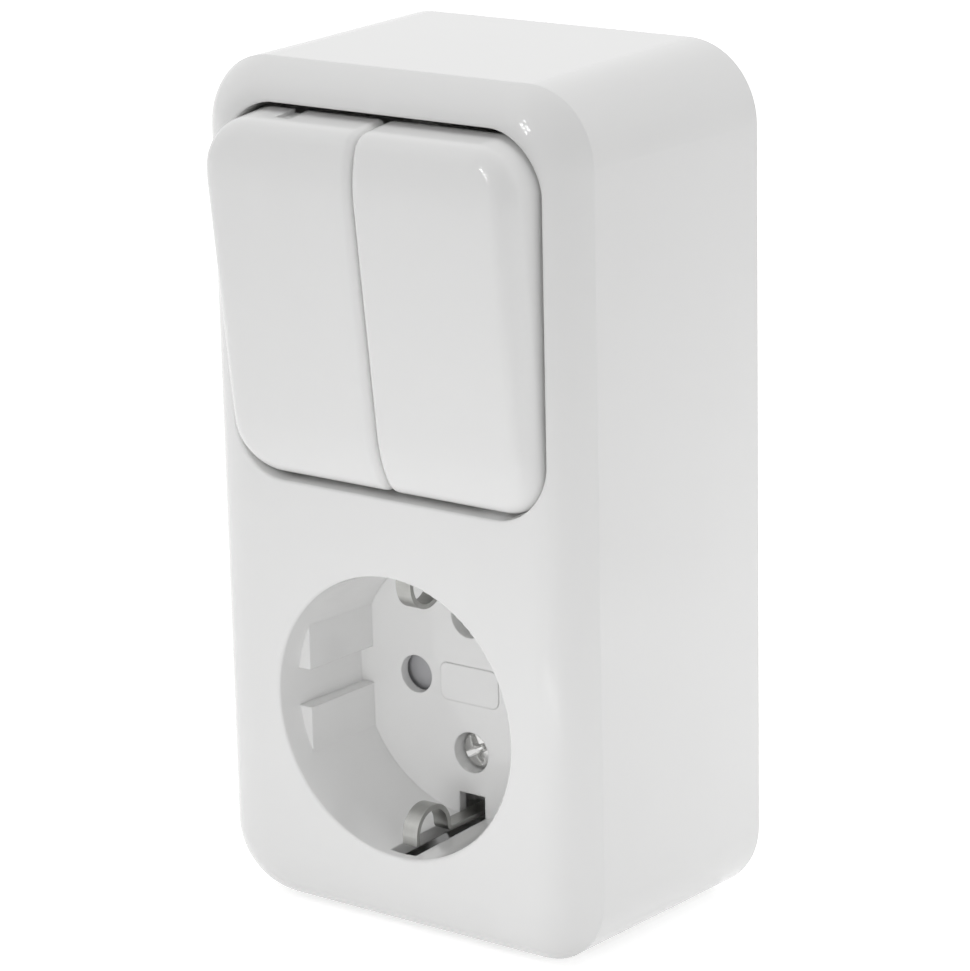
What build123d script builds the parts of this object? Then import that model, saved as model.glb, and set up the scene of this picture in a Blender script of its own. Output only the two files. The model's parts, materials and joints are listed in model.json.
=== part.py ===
from build123d import *
import os
from math import cos, radians, sin, sqrt, tan

# A surface-mounted light switch with two rockers above an earthed socket, under one deep cover.
# The wall is the plane y = 0, the front faces -Y, X is to the right and Z is up.
# Sizes are in millimetres, and a height is a distance from the wall, towards the front.

# Cover
WIDTH = 66.0
HEIGHT = 122.5
DEPTH = 41.0
WALL = 2.2
DRAFT_DEG = 1.28
CORNER_R = 11.0
FRONT_ARC_R = 8.5
EDGE_DROP = 4.5
RIM_R = 0.35
RIM_BAND = 0.02
OVERCUT = 1.0
PICK_ROOM = 0.05
RIB_W = 1.2
RIB_OUT = 1.6
RIB_TOP = 22.0
SWITCH_FROM_TOP = 32.65
SOCKET_FROM_BOTTOM = 32.25

# Rockers
ROCKER_W = 26.0
ROCKER_L = 50.7
ROCKER_SPLIT = 0.3
ROCKER_SIDE_GAP = 0.5
ROCKER_END_GAP = 0.95
ROCKER_CORNER_R = 7.0
OPENING_CORNER_R = 8.5
ROCKER_EDGE_R = 3.2
ROCKER_SPLIT_R = 1.2
ROCKER_WALL = 1.8
ROCKER_TILT_DEG = 6.33
CROWN_FLAT = 16.0
CROWN_R = 20.0
AXIS_DROP = 3.7
FACE_RISE = 7.95
SKIRT_BELOW_AXIS = 1.5
COVER_SKIRT_T = 1.5
COVER_SKIRT_DEPTH = 9.0
TOP_NOTCH_X = 14.5
TOP_NOTCH_W = 2.2
TOP_NOTCH_T = 0.5
FACE_RELIEF = 0.2

# Rocker carriers and their bearings
CARRIER_W = 14.0
CARRIER_L = 30.0
CARRIER_PLATE_T = 2.0
CARRIER_HUB_R = 2.6
CARRIER_WEB_T = 1.6
AXLE_R = 1.5
AXLE_STUB = 2.2
RUNNING_GAP = 0.06
EAR_T = 2.0
EAR_GAP = 0.3
EAR_R = 3.2
EAR_SLOT_W = 2.6
FINGER_W = 4.0
FINGER_T = 1.3
FINGER_LIP = 0.7
FINGER_ROOT = 0.5

# Plungers and their springs
PLUNGER_R = 1.55
PLUNGER_TIP = 9.5
PLUNGER_L = 7.0
PLUNGER_NOSE_R = 1.45
GUIDE_WALL = 1.1
GUIDE_END = 5.0
PLUNGER_SPRING_L = 4.6
PLUNGER_SPRING_R = 1.1
PLUNGER_WIRE_R = 0.2
SPRING_TURNS = 4.0
WIRE_FLATS = 4

# Contact blades, contact bar and fixed contacts
MOVING_GAP = 0.3
BLADE_W = 6.0
BLADE_L = 20.0
BLADE_T = 0.8
BLADE_TILT_DEG = 6.0
RIVET_R = 1.6
RIVET_T = 0.7
RIVET_REACH = 8.4
RIDGE_R = 0.8
BAR_W = 5.0
BAR_T = 0.8
BAR_DROP = 2.0
CHEEK_H = 3.6

# Switch body
BODY_W = 46.0
BODY_L = 44.0
BODY_DROP = 6.3
BODY_CORNER_R = 2.0
CAVITY_W = 11.0
CAVITY_L = 27.0
TERMINAL_REACH = 17.0
TERMINAL_R = 3.4
STRIP_END = 3.0
STRIP_EDGE = 0.6
TERMINAL_ENTRY_W = 4.0

# Socket well
WELL_R = 20.15
WELL_R_FLOOR = 19.6
WELL_DEPTH = 17.5
WELL_WALL = 1.8
FLOOR_T = 1.5
COLLAR_DEPTH = 4.0
FLAT_X = 17.7
FLAT_X_FLOOR = 17.3
GROOVE_W = 5.5
PIN_SPACING = 19.0
PIN_HOLE_R = 2.75
BARE_PLATE_W = 10.2
BARE_PLATE_H = 5.5
BARE_PLATE_T = 0.15
EARTH_SLOT_W = 4.5
EARTH_SLOT_FRONT = 1.6
EARTH_SLOT_INNER = 16.2
PLATE_CORNER_R = 1.2

# Cover screws in the well floor
UPPER_SCREW_REACH = 10.0
LOWER_SCREW_REACH = 10.0
COVER_SCREW_SINK = 1.5
COVER_HEAD_R = 2.75
COVER_HEAD_H = 1.6
COVER_SHANK_R = 1.45
CUP_GAP = 0.25
CUP_WALL = 1.2
CROSS_W = 0.9
CROSS_L = 3.4
CROSS_DEPTH = 1.0
THREAD_GAP = 0.05
COVER_THREAD_L = 3.0
COVER_THREAD_ROOM = 0.3

# Shutter and its spring
SHUTTER_BEHIND = 1.0
SHUTTER_T = 1.7
SHUTTER_HUB_R = 3.9
SHUTTER_REACH = 13.0
SHUTTER_HALF_W = 3.1
SHUTTER_RAMP = 1.1
SHUTTER_CORNER_R = 2.5
PIVOT_R = 1.5
SHUTTER_WIRE_R = 0.15
SHUTTER_SPRING_R = 2.2
SHUTTER_SPRING_PITCH = 0.34
SHUTTER_SPRING_ROOM = 1.1

# Socket block and pin contacts
BLOCK_W = 48.0
BLOCK_L = 38.0
BLOCK_CORNER_R = 3.0
BLOCK_SKIN = 1.2
BLOCK_HOLE_R = 2.95
CHAMBER_W = 8.4
CHAMBER_L = 7.2
CONTACT_T = 0.6
CONTACT_W = 5.6
CONTACT_GAP = 4.3
CONTACT_FLARE = 0.7
CONTACT_LIFT = 0.4
CONTACT_FLARE_L = 2.0
TONGUE_H = 7.0
TERMINAL_X = 18.6
POCKET_W = 6.8
POCKET_L = 7.6

# Earth bow
BOW_T = 0.7
BRIDGE_W = 5.5
CLIP_W = 2.5
CLIP_R = 3.5
CLIP_CENTRE_DEPTH = 7.0
CLIP_FOOT_Z = 18.2
CLIP_RUN_Z = 19.0
CLIP_BEND_R = 0.8
CLIP_FOOT_L = 1.2
EARTH_TAB_X = 9.0
EARTH_TAB_Z = 14.4
EARTH_TAB_W = 6.0

# Terminal screws and fixing screws
TERM_SHANK_R = 1.5
TERM_HEAD_R = 2.8
TERM_HEAD_H = 1.8
TERM_L = 5.0
FIX_SHANK_R = 1.4
FIX_HEAD_R = 2.6
FIX_HEAD_H = 1.8
FIX_CLEARANCE = 0.3
FIX_TIP = 0.8
FIX_TIP_ROOM = 0.3
FIX_FLANGE_T = 2.6
SLOT_W = 0.8
SLOT_DEPTH = 0.9
SWITCH_SCREW_X = 17.0
SWITCH_SCREW_Z = 17.6
SOCKET_SCREW_X = 19.4
SOCKET_SCREW_Z = 14.6

# Base plate
BASE_T = 3.0
BASE_GAP = 0.35
WALL_HOLE_FROM_SIDE = 10.0
WALL_HOLE_FROM_END = 7.25
WALL_HOLE_R = 2.2
WALL_HEAD_R = 3.8
WALL_HEAD_SINK = 1.0
ENTRY_W = 26.0
ENTRY_L = 11.0
ENTRY_Z = -1.8

# Places that follow from the sizes above
DRAFT = tan(radians(DRAFT_DEG))
SWITCH_Z = HEIGHT / 2 - SWITCH_FROM_TOP
SOCKET_Z = SOCKET_FROM_BOTTOM - HEIGHT / 2
AXIS_H = DEPTH - AXIS_DROP
ROCKER_X = (ROCKER_SPLIT + ROCKER_W) / 2
FACE_BACK = FACE_RISE - ROCKER_WALL - FACE_RELIEF
FLOOR_H = DEPTH - WELL_DEPTH
FLOOR_BACK = FLOOR_H - FLOOR_T
SHUTTER_FRONT = FLOOR_BACK - SHUTTER_BEHIND
SHUTTER_BACK = SHUTTER_FRONT - SHUTTER_T
BLOCK_FRONT = SHUTTER_BACK - MOVING_GAP
BODY_FRONT = AXIS_H - BODY_DROP
BLADE_FRONT = AXIS_H - PLUNGER_TIP - MOVING_GAP
BLADE_BACK = BLADE_FRONT - BLADE_T
BAR_FRONT = BLADE_BACK - BAR_DROP
RIVET_FALL = RIVET_REACH * sin(radians(BLADE_TILT_DEG))
FIXED_RIVET_FRONT = BLADE_BACK - RIVET_FALL - RIVET_T - MOVING_GAP
FIXED_FRONT = FIXED_RIVET_FRONT - RIVET_T
FIXED_BACK = FIXED_FRONT - BAR_T
ROCKER_AXIS = Axis((0, -AXIS_H, SWITCH_Z), (1, 0, 0))
BLADE_AXIS = Axis((0, -BLADE_BACK, SWITCH_Z), (1, 0, 0))
WALL_HOLE_X = WIDTH / 2 - WALL_HOLE_FROM_SIDE
WALL_HOLE_Z = HEIGHT / 2 - WALL_HOLE_FROM_END


def slab(sketch, low, high):
    """A front-view sketch made solid between two heights."""
    return extrude(Plane.XZ.offset(low) * sketch, high - low)


def block(x_low, x_high, low, high, z_low, z_high):
    """A box between pairs of x, height and z values."""
    middle = Pos((x_low + x_high) / 2, (z_low + z_high) / 2)
    return slab(middle * Rectangle(x_high - x_low, z_high - z_low), low, high)


def rod(radius, x, z, low, high):
    """A round bar that points to the front, or the cutter for a round hole."""
    return slab(Pos(x, z) * Circle(radius), low, high)


def cross_rod(radius, x_low, x_high, height, z):
    """A round bar along X."""
    return extrude(Plane.YZ.offset(x_low) * Pos(-height, z) * Circle(radius), x_high - x_low)


def side_profile(sketch, x_low, x_high):
    """A side-view sketch, drawn over (-height, z), made solid between two x values."""
    return extrude(Plane.YZ.offset(x_low) * sketch, x_high - x_low)


def turned(points, x, z):
    """A solid of revolution from (radius, height) points, about a line that points to the front."""
    face = make_face(Polyline(*[(radius, -height) for radius, height in points], close=True))
    return Pos(x, 0, z) * revolve(face, Axis.Y)


def mirrored(solid):
    """The left-hand twin of a right-hand piece."""
    return mirror(solid, about=Plane.YZ)


def cover_screw_z(side):
    """Where the upper (1) or the lower (-1) cover screw stands."""
    return SOCKET_Z + (UPPER_SCREW_REACH if side > 0 else -LOWER_SCREW_REACH)


def hood_form(inset):
    """The cover's outer form, or the space inside it when inset by the wall."""
    arc_reach = sqrt(FRONT_ARC_R**2 - (FRONT_ARC_R - EDGE_DROP) ** 2)
    grow = FRONT_ARC_R - arc_reach - DRAFT * (DEPTH - EDGE_DROP) - inset
    foot = RectangleRounded(WIDTH - 2 * inset, HEIGHT - 2 * inset, CORNER_R - inset)
    drafted = extrude(Plane.XZ * foot, DEPTH, taper=DRAFT_DEG)
    outline = RectangleRounded(WIDTH + 2 * grow, HEIGHT + 2 * grow, CORNER_R + grow)
    pillow = slab(outline, 0, DEPTH - inset)
    front_edges = pillow.faces().sort_by(Axis.Y)[0].edges()
    return drafted & fillet(front_edges, FRONT_ARC_R - inset)


def opening_outline(grow):
    """The switch opening in the front view, or the outside of its skirt."""
    width = 2 * ROCKER_W + ROCKER_SPLIT + 2 * ROCKER_SIDE_GAP
    length = ROCKER_L + 2 * ROCKER_END_GAP
    corner = OPENING_CORNER_R + grow
    return Pos(0, SWITCH_Z) * RectangleRounded(width + 2 * grow, length + 2 * grow, corner)


def well_form(grow, floor):
    """The socket well's space, or the outside of its wall when grown by the wall."""
    ahead = DEPTH + OVERCUT
    ledge = DEPTH - COLLAR_DEPTH - grow
    reach = WELL_R + grow + OVERCUT
    foot_r = WELL_R_FLOOR + grow
    mouth_r = WELL_R + grow
    bowl_half = [(0, floor), (foot_r, floor), (mouth_r, DEPTH), (mouth_r, ahead), (0, ahead)]
    bowl = turned(bowl_half, 0, SOCKET_Z)
    collar = block(-reach, reach, ledge, ahead, SOCKET_Z - reach, SOCKET_Z + reach)
    wide = FLAT_X + grow
    narrow = FLAT_X_FLOOR + grow
    half = [(narrow, -floor), (wide, -ledge), (wide, -ahead)]
    section = Polyline(*half, *[(-x, y) for x, y in reversed(half)], close=True)
    flats = Pos(0, 0, SOCKET_Z) * extrude(make_face(section), reach, both=True)
    half_groove = GROOVE_W / 2 + grow
    groove = block(-reach, reach, floor, ahead, SOCKET_Z - half_groove, SOCKET_Z + half_groove)
    return bowl & (collar + flats + groove)


def rim_edges(cover):
    """The edges round the switch opening and round the mouth of the well."""
    opening = slab(opening_outline(RIM_BAND), 0, DEPTH)
    opening -= slab(opening_outline(-RIM_BAND), -OVERCUT, DEPTH + OVERCUT)
    mouth = rod(WELL_R + RIM_BAND, 0, SOCKET_Z, 0, DEPTH)
    mouth -= rod(WELL_R - RIM_BAND, 0, SOCKET_Z, -OVERCUT, DEPTH + OVERCUT)
    edges = []
    for edge in cover.edges():
        places = [edge @ share for share in (0, 0.5, 1)]
        flat = [Vector(place.X, -DEPTH / 2, place.Z) for place in places]
        ahead = all(-place.Y > DEPTH - EARTH_SLOT_FRONT for place in places)
        if ahead and any(all(ring.is_inside(place) for place in flat) for ring in (opening, mouth)):
            edges.append(edge)
    return edges


def cover_ribs():
    """Ribs on the inside of the cover's sides that stand on the base plate."""
    ribs = []
    for side in (-1, 1):
        for z in (-HEIGHT / 4, 0, HEIGHT / 4):
            outer = WIDTH / 2 - WALL / 2
            inner = WIDTH / 2 - WALL - RIB_OUT
            ribs.append(block(min(side * inner, side * outer), max(side * inner, side * outer),
                              BASE_T, RIB_TOP, z - RIB_W / 2, z + RIB_W / 2))
    return ribs


def make_cover():
    """The one-piece moulded cover: hood, skirt round the rockers, well, screw cups and ribs."""
    outer = hood_form(0)
    skirt_back = DEPTH - COVER_SKIRT_DEPTH
    cover = outer - hood_form(WALL)
    for rib in cover_ribs():
        cover += rib & outer
    cover += slab(opening_outline(COVER_SKIRT_T), skirt_back, DEPTH) & outer
    cover += well_form(WELL_WALL, FLOOR_BACK) & outer
    cup_r = COVER_HEAD_R + CUP_GAP
    for side in (-1, 1):
        cover += rod(cup_r + CUP_WALL, 0, cover_screw_z(side), BLOCK_FRONT, FLOOR_BACK)
    guard = rod(PIVOT_R + 2 * CUP_WALL, 0, SOCKET_Z, SHUTTER_FRONT + MOVING_GAP, FLOOR_BACK)
    cover += guard
    cover -= slab(opening_outline(0), skirt_back - OVERCUT, DEPTH + OVERCUT)
    cover -= well_form(0, FLOOR_H)
    cover = fillet(rim_edges(cover), RIM_R)
    plate = Pos(0, SOCKET_Z) * RectangleRounded(BARE_PLATE_W, BARE_PLATE_H, PLATE_CORNER_R)
    cover += slab(plate, FLOOR_H - FLOOR_T / 2, FLOOR_H + BARE_PLATE_T)
    cover -= rod(PIVOT_R + MOVING_GAP, 0, SOCKET_Z, FLOOR_BACK - SHUTTER_BEHIND, FLOOR_BACK)
    seat = FLOOR_H - COVER_SCREW_SINK - COVER_HEAD_H
    for side in (-1, 1):
        z = cover_screw_z(side)
        cover -= rod(cup_r, 0, z, seat, FLOOR_H + OVERCUT)
        cover -= rod(COVER_SHANK_R + FIX_CLEARANCE, 0, z, BLOCK_FRONT - OVERCUT, seat)
        cover -= rod(PIN_HOLE_R, side * PIN_SPACING / 2, SOCKET_Z, FLOOR_BACK - OVERCUT, FLOOR_H + OVERCUT)
        slot_inner = SOCKET_Z + side * EARTH_SLOT_INNER
        slot_outer = SOCKET_Z + side * (WELL_R + WELL_WALL + OVERCUT)
        cover -= block(-EARTH_SLOT_W / 2, EARTH_SLOT_W / 2, FLOOR_BACK - OVERCUT, DEPTH - EARTH_SLOT_FRONT,
                       min(slot_inner, slot_outer), max(slot_inner, slot_outer))
    return cover


def rocker_form():
    """The right rocker's outer form, level, before it is hollowed."""
    low = AXIS_H - SKIRT_BELOW_AXIS
    face = AXIS_H + FACE_RISE
    outline = Pos(ROCKER_X, SWITCH_Z) * Rectangle(ROCKER_W, ROCKER_L)
    outline = fillet(outline.vertices().sort_by(Axis.X)[-2:], ROCKER_CORNER_R)
    half = ROCKER_L / 2
    end_drop = CROWN_R - sqrt(CROWN_R**2 - (half - CROWN_FLAT) ** 2)
    flat_top = (-face, SWITCH_Z + CROWN_FLAT)
    flat_bottom = (-face, SWITCH_Z - CROWN_FLAT)
    end_top = (-face + end_drop, SWITCH_Z + half)
    end_bottom = (-face + end_drop, SWITCH_Z - half)
    crown = make_face(
        [
            Line(flat_bottom, flat_top),
            TangentArc(flat_top, end_top, tangent=(0, 1)),
            Polyline(end_top, (-low, SWITCH_Z + half), (-low, SWITCH_Z - half), end_bottom),
            TangentArc(flat_bottom, end_bottom, tangent=(0, -1)),
        ]
    )
    inner_x = ROCKER_SPLIT / 2
    form = slab(outline, low, face + OVERCUT) & side_profile(crown, inner_x, inner_x + ROCKER_W)
    seams = (SWITCH_Z - CROWN_FLAT, SWITCH_Z + CROWN_FLAT)
    upright = form.edges().filter_by(Axis.Y)
    outer_edges = [
        edge
        for edge in form.edges()
        if -edge.center().Y > AXIS_H + SKIRT_BELOW_AXIS
        and edge.center().X > inner_x + PICK_ROOM
        and edge not in upright
        and min(abs(edge.center().Z - seam) for seam in seams) > PICK_ROOM
    ]
    form = fillet(outer_edges, ROCKER_EDGE_R)
    split_edges = [
        edge
        for edge in form.edges()
        if abs(edge.center().X - inner_x) < PICK_ROOM and -edge.center().Y > low + PICK_ROOM
    ]
    return fillet(split_edges, ROCKER_SPLIT_R)


def rocker_hollow():
    """The space under the right rocker's face."""
    low = AXIS_H - SKIRT_BELOW_AXIS - OVERCUT
    top = AXIS_H + FACE_BACK
    shoulder = AXIS_H + FACE_BACK / 2
    half = ROCKER_L / 2 - ROCKER_WALL
    width = ROCKER_W - 2 * ROCKER_WALL
    outline = Pos(ROCKER_X, SWITCH_Z) * Rectangle(width, 2 * half)
    outline = fillet(outline.vertices().sort_by(Axis.X)[-2:], ROCKER_CORNER_R - ROCKER_WALL)
    profile = Polyline(
        (-low, SWITCH_Z - half),
        (-shoulder, SWITCH_Z - half),
        (-top, SWITCH_Z - CROWN_FLAT),
        (-top, SWITCH_Z + CROWN_FLAT),
        (-shoulder, SWITCH_Z + half),
        (-low, SWITCH_Z + half),
        close=True,
    )
    return slab(outline, low, top + OVERCUT) & side_profile(make_face(profile), 0, 2 * ROCKER_W)


def rocker_fingers():
    """Four hooks under the face that grip the carrier's plate."""
    plate_back = AXIS_H + FACE_BACK - CARRIER_PLATE_T
    hook_low = plate_back - FINGER_T
    root = AXIS_H + FACE_BACK + FINGER_ROOT
    fingers = []
    for side in (-1, 1):
        for x in (ROCKER_X - CARRIER_W / 4, ROCKER_X + CARRIER_W / 4):
            inner = SWITCH_Z + side * CARRIER_L / 2
            outer = inner + side * FINGER_T
            lip = inner - side * FINGER_LIP
            fingers.append(block(x - FINGER_W / 2, x + FINGER_W / 2, hook_low, root,
                                 min(inner, outer), max(inner, outer)))
            fingers.append(block(x - FINGER_W / 2, x + FINGER_W / 2, hook_low, plate_back,
                                 min(lip, outer), max(lip, outer)))
    return fingers


def make_rocker_right():
    """A hollow rocker with a crowned face, at rest: its top out and its bottom in."""
    rocker = rocker_form() - rocker_hollow()
    for finger in rocker_fingers():
        rocker += finger
    return rocker.rotate(ROCKER_AXIS, ROCKER_TILT_DEG)


def make_rocker_left(right):
    """The left rocker, which has a small notch in its top wall, under the rounded edge."""
    end_drop = CROWN_R - sqrt(CROWN_R**2 - (ROCKER_L / 2 - CROWN_FLAT) ** 2)
    notch_top = AXIS_H + FACE_RISE - end_drop - ROCKER_EDGE_R
    notch = block(-TOP_NOTCH_X - TOP_NOTCH_W / 2, -TOP_NOTCH_X + TOP_NOTCH_W / 2, 0, notch_top,
                  SWITCH_Z + ROCKER_L / 2 - TOP_NOTCH_T, SWITCH_Z + ROCKER_L)
    return mirrored(right) - notch.rotate(ROCKER_AXIS, ROCKER_TILT_DEG)


def make_carrier_right():
    """The toggle under the right rocker: plate, hub, axle stubs and plunger guide."""
    top = AXIS_H + FACE_BACK
    plate_back = top - CARRIER_PLATE_T
    left = ROCKER_X - CARRIER_W / 2
    right = ROCKER_X + CARRIER_W / 2
    guide_bore = PLUNGER_R + RUNNING_GAP
    carrier = block(left, right, plate_back, top, SWITCH_Z - CARRIER_L / 2, SWITCH_Z + CARRIER_L / 2)
    carrier += block(left, right, AXIS_H, plate_back, SWITCH_Z - CARRIER_HUB_R, SWITCH_Z + CARRIER_HUB_R)
    carrier += cross_rod(CARRIER_HUB_R, left, right, AXIS_H, SWITCH_Z)
    carrier += cross_rod(AXLE_R, left - AXLE_STUB, right + AXLE_STUB, AXIS_H, SWITCH_Z)
    carrier += rod(guide_bore + GUIDE_WALL, ROCKER_X, SWITCH_Z, AXIS_H - GUIDE_END, plate_back)
    for side in (-1, 1):
        x = ROCKER_X + side * (CARRIER_W - CARRIER_WEB_T) / 2
        low_end = (-plate_back, SWITCH_Z - CARRIER_L / 3)
        high_end = (-plate_back, SWITCH_Z + CARRIER_L / 3)
        web = make_face(Polyline(low_end, (-AXIS_H, SWITCH_Z), high_end, close=True))
        carrier += side_profile(web, x - CARRIER_WEB_T / 2, x + CARRIER_WEB_T / 2)
    spring_room = AXIS_H - PLUNGER_TIP + PLUNGER_L + PLUNGER_SPRING_L + 2 * PLUNGER_WIRE_R
    carrier -= rod(guide_bore, ROCKER_X, SWITCH_Z, AXIS_H - GUIDE_END - OVERCUT, spring_room)
    return carrier.rotate(ROCKER_AXIS, ROCKER_TILT_DEG)


def make_plunger_right():
    """The sprung pin with a round nose that crosses the contact blade."""
    tip = AXIS_H - PLUNGER_TIP
    plunger = rod(PLUNGER_R, ROCKER_X, SWITCH_Z, tip, tip + PLUNGER_L)
    plunger = fillet(plunger.edges().sort_by(Axis.Y)[-1], PLUNGER_NOSE_R)
    return plunger.rotate(ROCKER_AXIS, ROCKER_TILT_DEG)


def coil_spring(pitch, length, radius, wire_r):
    """A coil that points to the front from y = 0, of wire with a few flats."""
    coil = Helix(pitch, length, radius)
    section = Plane(origin=coil @ 0, z_dir=coil % 0) * RegularPolygon(wire_r, round(WIRE_FLATS))
    return Rot(90, 0, 0) * sweep(section, path=coil, is_frenet=True)


def make_plunger_spring_right():
    """The coil spring between the plunger and the blind end of its guide."""
    foot = AXIS_H - PLUNGER_TIP + PLUNGER_L + PLUNGER_WIRE_R
    pitch = PLUNGER_SPRING_L / SPRING_TURNS
    spring = coil_spring(pitch, PLUNGER_SPRING_L, PLUNGER_SPRING_R, PLUNGER_WIRE_R)
    spring = Pos(ROCKER_X, -foot, SWITCH_Z) * spring
    return spring.rotate(ROCKER_AXIS, ROCKER_TILT_DEG)


def make_blade_right():
    """The seesaw contact blade with its rivet, tipped to its rest position."""
    left = ROCKER_X - BLADE_W / 2
    right = ROCKER_X + BLADE_W / 2
    blade = block(left, right, BLADE_BACK, BLADE_FRONT, SWITCH_Z - BLADE_L / 2, SWITCH_Z + BLADE_L / 2)
    blade = fillet(blade.edges().filter_by(Axis.Y), BLADE_T)
    blade += rod(RIVET_R, ROCKER_X, SWITCH_Z - RIVET_REACH, BLADE_BACK - RIVET_T, BLADE_BACK)
    return blade.rotate(BLADE_AXIS, -BLADE_TILT_DEG)


def make_common_contact_bar():
    """The strip that feeds both blades: a ridge and two cheeks at each, and a tail to its terminal."""
    reach = ROCKER_X + BLADE_W / 2 + MOVING_GAP + BAR_T
    back = BAR_FRONT - BAR_T
    terminal_z = SWITCH_Z + TERMINAL_REACH
    bar = block(-reach, reach, back, BAR_FRONT, SWITCH_Z - BAR_W / 2, SWITCH_Z + BAR_W / 2)
    bar += block(-BAR_W / 2, BAR_W / 2, back, BAR_FRONT, SWITCH_Z, terminal_z + TERMINAL_R)
    for side in (-1, 1):
        x = side * ROCKER_X
        ridge_top = BLADE_BACK - MOVING_GAP
        bar += block(x - BLADE_W / 2, x + BLADE_W / 2, back, ridge_top - RIDGE_R,
                     SWITCH_Z - RIDGE_R, SWITCH_Z + RIDGE_R)
        bar += cross_rod(RIDGE_R, x - BLADE_W / 2, x + BLADE_W / 2, ridge_top - RIDGE_R, SWITCH_Z)
        for cheek in (-1, 1):
            inner = x + cheek * (BLADE_W / 2 + MOVING_GAP)
            outer = inner + cheek * BAR_T
            bar += block(min(inner, outer), max(inner, outer), back, back + CHEEK_H,
                         SWITCH_Z - BAR_W / 2, SWITCH_Z + BAR_W / 2)
    return bar - rod(TERM_SHANK_R + THREAD_GAP, 0, terminal_z, back - OVERCUT, BAR_FRONT + OVERCUT)


def make_fixed_contact_right():
    """A strip on the cavity floor with the rivet that the blade closes on."""
    terminal_z = SWITCH_Z - TERMINAL_REACH
    rivet_z = SWITCH_Z - RIVET_REACH
    strip = block(ROCKER_X - BAR_W / 2, ROCKER_X + BAR_W / 2, FIXED_BACK, FIXED_FRONT,
                  terminal_z - STRIP_END, rivet_z + RIVET_R + STRIP_EDGE)
    strip += rod(RIVET_R, ROCKER_X, rivet_z, FIXED_FRONT, FIXED_RIVET_FRONT)
    return strip - rod(TERM_SHANK_R + THREAD_GAP, ROCKER_X, terminal_z,
                       FIXED_BACK - OVERCUT, FIXED_FRONT + OVERCUT)


def bearing_ears():
    """Four ears with snap-in bearings for the carriers' axle stubs."""
    ears = []
    for side in (-1, 1):
        for cheek in (-1, 1):
            inner = side * ROCKER_X + cheek * (CARRIER_W / 2 + EAR_GAP)
            outer = inner + cheek * EAR_T
            low = min(inner, outer)
            high = max(inner, outer)
            ear = block(low, high, BODY_FRONT - OVERCUT, AXIS_H, SWITCH_Z - EAR_R, SWITCH_Z + EAR_R)
            ear += cross_rod(EAR_R, low, high, AXIS_H, SWITCH_Z)
            ear -= cross_rod(AXLE_R + RUNNING_GAP, low - OVERCUT, high + OVERCUT, AXIS_H, SWITCH_Z)
            ear -= block(low - OVERCUT, high + OVERCUT, AXIS_H, AXIS_H + EAR_R + OVERCUT,
                         SWITCH_Z - EAR_SLOT_W / 2, SWITCH_Z + EAR_SLOT_W / 2)
            ears.append(ear)
    return ears


def make_switch_body():
    """The insulating block that holds both switch mechanisms and their terminals."""
    outline = Pos(0, SWITCH_Z) * RectangleRounded(BODY_W, BODY_L, BODY_CORNER_R)
    body = slab(outline, BASE_T, BODY_FRONT)
    for ear in bearing_ears():
        body += ear
    front = BODY_FRONT + OVERCUT
    bar_back = BAR_FRONT - BAR_T
    room = MOVING_GAP / 2
    bar_reach = ROCKER_X + BLADE_W / 2 + MOVING_GAP + BAR_T + room
    common_z = SWITCH_Z + TERMINAL_REACH
    output_z = SWITCH_Z - TERMINAL_REACH
    cavity_low = SWITCH_Z - CAVITY_L / 2
    cavity_high = SWITCH_Z + CAVITY_L / 2
    body -= block(-bar_reach, bar_reach, bar_back, front,
                  SWITCH_Z - BAR_W / 2 - room, SWITCH_Z + BAR_W / 2 + room)
    body -= block(-BAR_W / 2 - room, BAR_W / 2 + room, bar_back, front, SWITCH_Z, common_z + TERMINAL_R)
    body -= rod(TERMINAL_R + room, 0, common_z, bar_back, front)
    body -= rod(TERM_SHANK_R + FIX_CLEARANCE, 0, common_z, bar_back - TERM_L, front)
    body -= block(-TERMINAL_ENTRY_W / 2, TERMINAL_ENTRY_W / 2, BAR_FRONT, front,
                  common_z, SWITCH_Z + BODY_L)
    for side in (-1, 1):
        x = side * ROCKER_X
        body -= block(x - CAVITY_W / 2, x + CAVITY_W / 2, bar_back, front, cavity_low, cavity_high)
        body -= block(x - BAR_W / 2 - room, x + BAR_W / 2 + room, FIXED_BACK, front,
                      output_z - STRIP_END - room, SWITCH_Z - BAR_W / 2 - room)
        body -= rod(TERMINAL_R + room, x, output_z, FIXED_FRONT, front)
        body -= rod(TERM_SHANK_R + FIX_CLEARANCE, x, output_z, FIXED_BACK - TERM_L, front)
        body -= block(x - TERMINAL_ENTRY_W / 2, x + TERMINAL_ENTRY_W / 2, FIXED_FRONT, front,
                      SWITCH_Z - BODY_L, output_z)
        body -= fixing_hole(side * SWITCH_SCREW_X, SWITCH_Z + SWITCH_SCREW_Z, BODY_FRONT)
    body -= fixing_hole(0, SWITCH_Z - SWITCH_SCREW_Z, BODY_FRONT)
    return body


def fixing_hole(x, z, front):
    """The cutter for a fixing screw: a clearance hole under a wide well for the head."""
    seat = BASE_T + FIX_FLANGE_T
    well = rod(FIX_HEAD_R + FIX_CLEARANCE, x, z, seat, front + OVERCUT)
    return well + rod(FIX_SHANK_R + FIX_CLEARANCE, x, z, BASE_T - OVERCUT, seat + OVERCUT)


def screw(x, z, seat, tip, shank_r, head_r, head_h):
    """A plain screw: its head sits at one height and its shank ends at another."""
    return rod(shank_r, x, z, tip, seat) + rod(head_r, x, z, seat, seat + head_h)


def slotted_screw(x, z, seat, tip, shank_r, head_r, head_h):
    """A screw with one straight slot."""
    top = seat + head_h
    slot = block(x - head_r, x + head_r, top - SLOT_DEPTH, top + OVERCUT, z - SLOT_W / 2, z + SLOT_W / 2)
    return screw(x, z, seat, tip, shank_r, head_r, head_h) - slot


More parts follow.
